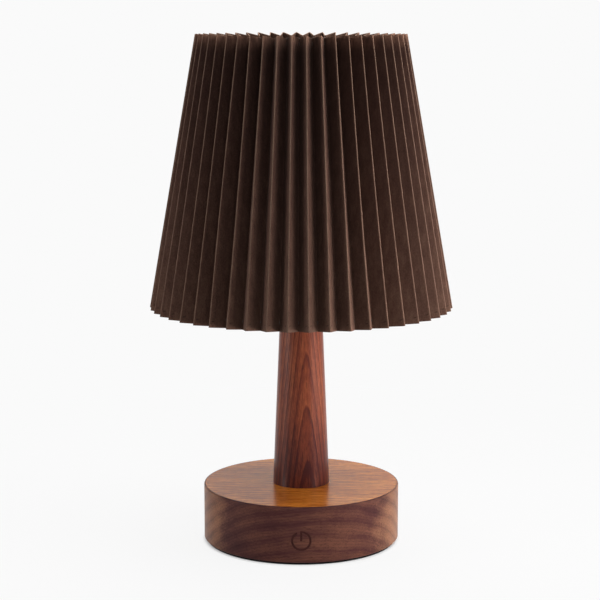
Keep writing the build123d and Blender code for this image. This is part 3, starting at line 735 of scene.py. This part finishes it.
def make_shade():
    """Closed thin sheet: outer face, inner face and, as its last faces, the two cut rims."""
    random.seed(SEED)
    strays = []
    for _ in range(PLEATS):
        strays.append([random.uniform(-most, most) for most in (STRAY_TURN, STRAY_BOW, STRAY_DEPTH)])
    outer_rows, inner_rows = [], []
    for rise in ROWS:
        height = SHADE_BOTTOM + rise
        line = section(height, strays)
        tangent = np.roll(line, -1, axis=0) - np.roll(line, 1, axis=0)
        tangent /= np.linalg.norm(tangent, axis=1)[:, None]
        normal = np.stack((tangent[:, 1], -tangent[:, 0]), axis=1)
        for rows, shift in zip((outer_rows, inner_rows), face_shifts()):
            plan = line + normal * shift[:, None]
            z = height - (crest_radius(height) - np.linalg.norm(plan, axis=1)) * cut_slant(height)
            rows.append(np.column_stack((plan, z)))
    count, levels = len(outer_rows[0]), len(ROWS)
    vertices = np.vstack(outer_rows + inner_rows) * MM
    inner_start = levels * count
    top = (levels - 1) * count
    faces = []
    for level in range(levels - 1):
        for index in range(count):
            after = (index + 1) % count
            a, b = level * count + index, level * count + after
            c, d = a + count, b + count
            faces.append((a, b, d, c))
            faces.append((inner_start + c, inner_start + d, inner_start + b, inner_start + a))
    for index in range(count):
        after = (index + 1) % count
        faces.append((inner_start + index, inner_start + after, after, index))
        faces.append((top + index, top + after, inner_start + top + after, inner_start + top + index))
    piece = new_object("shade_cloth", vertices.tolist(), faces, [pleated_cloth("pleated_cloth")], 50)
    mark_cloth(piece.data, levels, count)
    return piece


shade = make_shade()
stand_in(shade, "shade_pleats", "shade")


# Base body with the touch sign burnt into its front. The sign's circle is open between two angles from
# its top, and a stroke stands in it.
BASE_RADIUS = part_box("base_body")[1].x / MM
SIGN_HEIGHT = 15.0
SIGN_RADIUS = 5.4
SIGN_LINE = 1.25
SIGN_DEPTH = 0.35
SIGN_PROUD = 0.6
SIGN_GAP = (-27.0, -4.0)
SIGN_STROKE = 6.2
SIGN_STEPS = 72
EDGE_ROUND = 0.9
SIDE_FACE = 0
LIT_TOP_FACE = 2
LEVEL = 0.999
UPRIGHT = 0.05
OUTWARD = 0.1
WELD_DISTANCE = 2e-7
SHARP_ANGLE = 30


def sign_paths():
    """Middle lines of the sign's circle and stroke, as points across and up the wall."""
    arc = []
    for index in range(SIGN_STEPS + 1):
        angle = math.radians(SIGN_GAP[1] + (360 + SIGN_GAP[0] - SIGN_GAP[1]) * index / SIGN_STEPS)
        arc.append((SIGN_RADIUS * math.sin(angle), SIGN_HEIGHT + SIGN_RADIUS * math.cos(angle)))
    stroke_top = SIGN_HEIGHT + SIGN_RADIUS + SIGN_LINE / 2
    stroke = [(0.0, stroke_top - SIGN_STROKE * part) for part in (0.0, 0.5, 1.0)]
    return {"sign_arc": arc, "sign_stroke": stroke}


def groove_cutter(name, path, material):
    """Closed strip of the sign's line width along a path on the wall, from outside to the bottom of the
    groove."""
    vertices, faces = [], []
    for index, (x, z) in enumerate(path):
        before, after = path[max(index - 1, 0)], path[min(index + 1, len(path) - 1)]
        run = Vector((after[0] - before[0], after[1] - before[1])).normalized()
        side = Vector((-run.y, run.x)) * SIGN_LINE / 2
        for sign in (1, -1):
            for depth in (-SIGN_PROUD, SIGN_DEPTH):
                turn = math.degrees((x + sign * side.x) / BASE_RADIUS)
                vertices.append(round_axis(BASE_RADIUS - depth, turn, z + sign * side.y))
    for index in range(len(path) - 1):
        a, b = 4 * index, 4 * index + 4
        faces += [(a, a + 1, b + 1, b), (a + 1, a + 3, b + 3, b + 1)]
        faces += [(a + 3, a + 2, b + 2, b + 3), (a + 2, a, b, b + 2)]
    end = 4 * (len(path) - 1)
    faces += [(0, 2, 3, 1), (end, end + 1, end + 3, end + 2)]
    cutter = new_object(name, vertices, faces, [material])
    mesh = bmesh.new()
    mesh.from_mesh(cutter.data)
    bmesh.ops.recalc_face_normals(mesh, faces=mesh.faces)
    mesh.to_mesh(cutter.data)
    mesh.free()
    return cutter


def true_normals(mesh):
    """Shade the wall, the rounded edge and the top by their true shapes, whatever their triangles."""
    smooth_by_angle(mesh, SHARP_ANGLE)
    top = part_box("base_body")[1].z / MM
    normals = [Vector(corner.vector) for corner in mesh.corner_normals]
    for face in mesh.polygons:
        if face.material_index != SIDE_FACE:
            for loop in face.loop_indices:
                normals[loop] = face.normal.copy()
            continue
        for loop in face.loop_indices:
            point = mesh.vertices[mesh.loops[loop].vertex_index].co / MM
            radius = math.hypot(point.x, point.y)
            outward = Vector((point.x, point.y, 0)) / radius
            if face.normal.dot(outward) < OUTWARD or radius < BASE_RADIUS - EDGE_ROUND - 0.01:
                continue
            rise = max(0.0, min(1.0, (point.z - top + EDGE_ROUND) / EDGE_ROUND))
            if abs(face.normal.z) < UPRIGHT or rise > 0:
                normals[loop] = (outward * math.sqrt(1 - rise**2) + Vector((0, 0, rise))).normalized()
    mesh.normals_split_custom_set(normals)


def make_base(side, burnt, top):
    """The CAD base with the sign cut into its side. The burnt finish is only in the groove."""
    base = bpy.data.objects.new("base_wood", nodes["base_body"].data.copy())
    bpy.context.scene.collection.objects.link(base)
    base.data.materials.clear()
    for material in (side, burnt, top):
        base.data.materials.append(material)
    mesh = bmesh.new()
    mesh.from_mesh(base.data)
    bmesh.ops.remove_doubles(mesh, verts=mesh.verts, dist=WELD_DISTANCE)
    for face in mesh.faces:
        # The level top takes the walnut with painted light.
        face.material_index = LIT_TOP_FACE if face.normal.z > LEVEL else SIDE_FACE
    mesh.to_mesh(base.data)
    mesh.free()
    for name, path in sign_paths().items():
        cutter = groove_cutter(name, path, burnt)
        cut = base.modifiers.new(name, "BOOLEAN")
        cut.operation = "DIFFERENCE"
        cut.solver = "EXACT"
        cut.material_mode = "TRANSFER"
        cut.object = cutter
        bpy.context.view_layer.objects.active = base
        bpy.ops.object.modifier_apply(modifier=name)
        bpy.data.objects.remove(cutter)
    true_normals(base.data)
    return base


base = make_base(base_side_walnut(), scorched("scorched_wood"), lit_base_top_walnut())
stand_in(base, "base_body", "stand")

# Finishes of the CAD pieces, by the record's material slots
FINISHES = {
    "foot": moulded("foot_rubber", (0.006, 0.005, 0.005), 0.85, grain=1.5, depth=0.0001,
                    Specular_IOR_Level=0.05),
    "cover_plastic": moulded("cover_plastic", (0.022, 0.021, 0.021), 0.55),
    "bezel_plastic": moulded("bezel_plastic", (0.014, 0.013, 0.013), 0.42),
    "white_plastic": moulded("white_plastic", (0.78, 0.77, 0.73), 0.45),
    "screw_steel": metal("screw_steel", (0.60, 0.60, 0.61), 0.32),
    "ballast_steel": metal("ballast_steel", (0.34, 0.34, 0.35), 0.48),
    "tube_steel": metal("tube_steel", (0.62, 0.56, 0.44), 0.36, brushed=(2.0, 2.0, 0.1)),
    "head_metal": moulded("head_enamel", (0.72, 0.71, 0.67), 0.36, grain=3.0, depth=0.00003),
    "led_board": moulded("led_board_mask", (0.82, 0.82, 0.80), 0.38),
    "led_chip": moulded("led_phosphor", (0.84, 0.62, 0.14), 0.30),
    "opal": moulded("opal_diffuser", (0.66, 0.645, 0.605), 0.33, grain=1.5, depth=0.00002,
                    Subsurface_Weight=0.25, Subsurface_Radius=(0.004, 0.004, 0.0035), Subsurface_Scale=1.0),
    "cell_sleeve": moulded("cell_sleeve", (0.05, 0.15, 0.32), 0.28),
    "cradle_plastic": moulded("cradle_plastic", (0.03, 0.03, 0.033), 0.5),
    "nickel": metal("nickel", (0.66, 0.62, 0.54), 0.25),
    "board_green": moulded("board_mask", (0.012, 0.12, 0.045), 0.3, grain=0.8),
    "chip_black": moulded("chip_black", (0.018, 0.018, 0.02), 0.5),
    "can_aluminium": metal("can_aluminium", (0.78, 0.78, 0.79), 0.3),
    "socket_steel": metal("socket_steel", (0.64, 0.64, 0.65), 0.24),
    "clear_plastic": moulded("light_pipe", (0.78, 0.80, 0.80), 0.2, Transmission_Weight=0.5, IOR=1.49),
    "copper": metal("copper", (0.78, 0.36, 0.20), 0.3),
    "lead_red": moulded("lead_red", (0.42, 0.02, 0.015), 0.42),
    "lead_black": moulded("lead_black", (0.015, 0.015, 0.015), 0.42),
    "lead_white": moulded("lead_white", (0.72, 0.72, 0.68), 0.42),
    "silicone": moulded("silicone", (0.42, 0.42, 0.40), 0.5),
    "wire_enamel": moulded("wire_enamel", (0.030, 0.021, 0.017), 0.60, grain=2.5, Specular_IOR_Level=0.15),
    "walnut_stem": stem_walnut(),
}
for entry in frame["record"]["subparts"]:
    node, slot_name = nodes[entry["node"]], entry["material_slot"]
    if slot_name in FINISHES:
        node.data.materials.clear()
        node.data.materials.append(FINISHES[slot_name])


# Wire frame and diffuser, rounder than their CAD solids
WIRE_RADIUS = 1.5
WIRE_GAP = 0.02
RING_HEIGHTS = {"bottom_ring": SHADE_BOTTOM + STITCH_HEIGHT, "top_ring": SHADE_TOP - 5.0}
ARM_TURNS = (60, 180, 300)
ARM_ELBOW = (28.5, 299.0)
ARM_LAND = 25.4
ARM_BEND = 9.0
ARM_STEPS = 8
FITTER_BOTTOM, FITTER_TOP = (corner.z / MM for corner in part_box("fitter_ring"))
THREAD_RADIUS = 0.3
THREAD_STEPS = 14
CUP_ROUND = 3.0
PINHOLE = 0.01
CUP_STEPS = 8
CUP_WALL = 1.5
CUP_SHELF = 228.0
SHELF_SLANT = (3.0, 1.5)
SKIRT_RADIUS = 18.0
SKIRT_WALL = 1.0


def ring_radius(height):
    """Radius of a ring's centre line, tight against the inner folds."""
    return inner_radius(height) - (WIRE_RADIUS + WIRE_GAP) * math.hypot(1, SLOPE)


def make_ring(node, height):
    """Round wire closed into a ring."""
    points = [round_axis(ring_radius(height), turn, height) for turn in range(0, 360, 3)]
    return tube(node.replace("ring", "wire"), points, WIRE_RADIUS * MM, FINISHES["wire_enamel"], closed=True)


def make_arm(index, turn):
    """Bent wire from the top ring to the fitter ring, cut level on the fitter ring's face."""
    start = round_axis(ring_radius(RING_HEIGHTS["top_ring"]), turn, RING_HEIGHTS["top_ring"])
    elbow = round_axis(ARM_ELBOW[0], turn, ARM_ELBOW[1])
    foot = round_axis(ARM_LAND, turn, FITTER_BOTTOM)
    inward, downward = (start - elbow).normalized(), (foot - elbow).normalized()
    half = inward.angle(downward) / 2
    reach = ARM_BEND * MM / math.tan(half)
    middle = elbow + (inward + downward).normalized() * ARM_BEND * MM / math.sin(half)
    first = elbow + inward * reach - middle
    last = elbow + downward * reach - middle
    points = [start - inward * WIRE_RADIUS * MM * 0.5]
    for step in range(ARM_STEPS + 1):
        points.append(middle + first.slerp(last, step / ARM_STEPS).normalized() * ARM_BEND * MM)
    points.append(elbow + downward * ((elbow.z - FITTER_TOP * MM) / -downward.z))
    arm = tube(f"arm_wire_{index}", points, WIRE_RADIUS * MM, FINISHES["wire_enamel"])
    for vertex in arm.data.vertices[-TUBE_SIDES:]:
        vertex.co += downward * ((vertex.co.z - FITTER_TOP * MM) / -downward.z)
    return arm


def make_ties(name, height):
    """Loops of thread round a ring and through each inner fold, all in one mesh."""
    ring = ring_radius(height)
    loop = WIRE_RADIUS + THREAD_RADIUS
    loops = []
    for index in range(PLEATS):
        turn = PLEAT_PHASE + (index + 0.5) * 360 / PLEATS
        points = []
        for step in range(THREAD_STEPS):
            angle = 2 * math.pi * step / THREAD_STEPS
            points.append(round_axis(ring + loop * math.cos(angle), turn, height + loop * math.sin(angle)))
        loops.append(tube(f"tie_{index}", points, THREAD_RADIUS * MM, THREAD, sides=6, closed=True))
    with bpy.context.temp_override(active_object=loops[0], selected_editable_objects=loops):
        bpy.ops.object.join()
    loops[0].name = name
    return loops[0]


def make_diffuser():
    """Opal cup with a rounded top edge, and its skirt in the head."""
    low, high = (corner.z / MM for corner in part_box("diffuser"))
    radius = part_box("diffuser")[1].x / MM
    inner = radius - CUP_WALL
    roof = high - CUP_WALL
    outline = [(SKIRT_RADIUS, low), (SKIRT_RADIUS, CUP_SHELF), (radius, CUP_SHELF)]
    for step in range(CUP_STEPS + 1):
        angle = math.pi / 2 * step / CUP_STEPS
        outline.append((radius - CUP_ROUND * (1 - math.cos(angle)), high - CUP_ROUND * (1 - math.sin(angle))))
    outline += [(PINHOLE, high), (PINHOLE, roof), (inner - CUP_WALL, roof), (inner, roof - CUP_WALL)]
    outline += [(inner, CUP_SHELF + SHELF_SLANT[0]), (SKIRT_RADIUS - SKIRT_WALL, CUP_SHELF + SHELF_SLANT[1])]
    outline.append((SKIRT_RADIUS - SKIRT_WALL, low))
    return turned("opal_cup", outline, FINISHES["opal"], segments=72)


THREAD = moulded("thread", (0.040, 0.024, 0.018), 0.8, grain=6.0, depth=0.0001)
for node_name, ring_height in RING_HEIGHTS.items():
    stand_in(make_ring(node_name, ring_height), node_name, "shade")
    ties = make_ties(node_name.replace("ring", "ties"), ring_height)
    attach(ties, "shade")
for number, arm_turn in enumerate(ARM_TURNS, 1):
    stand_in(make_arm(number, arm_turn), f"spider_arm_{number}", "shade")
stand_in(make_diffuser(), "diffuser", "stand")
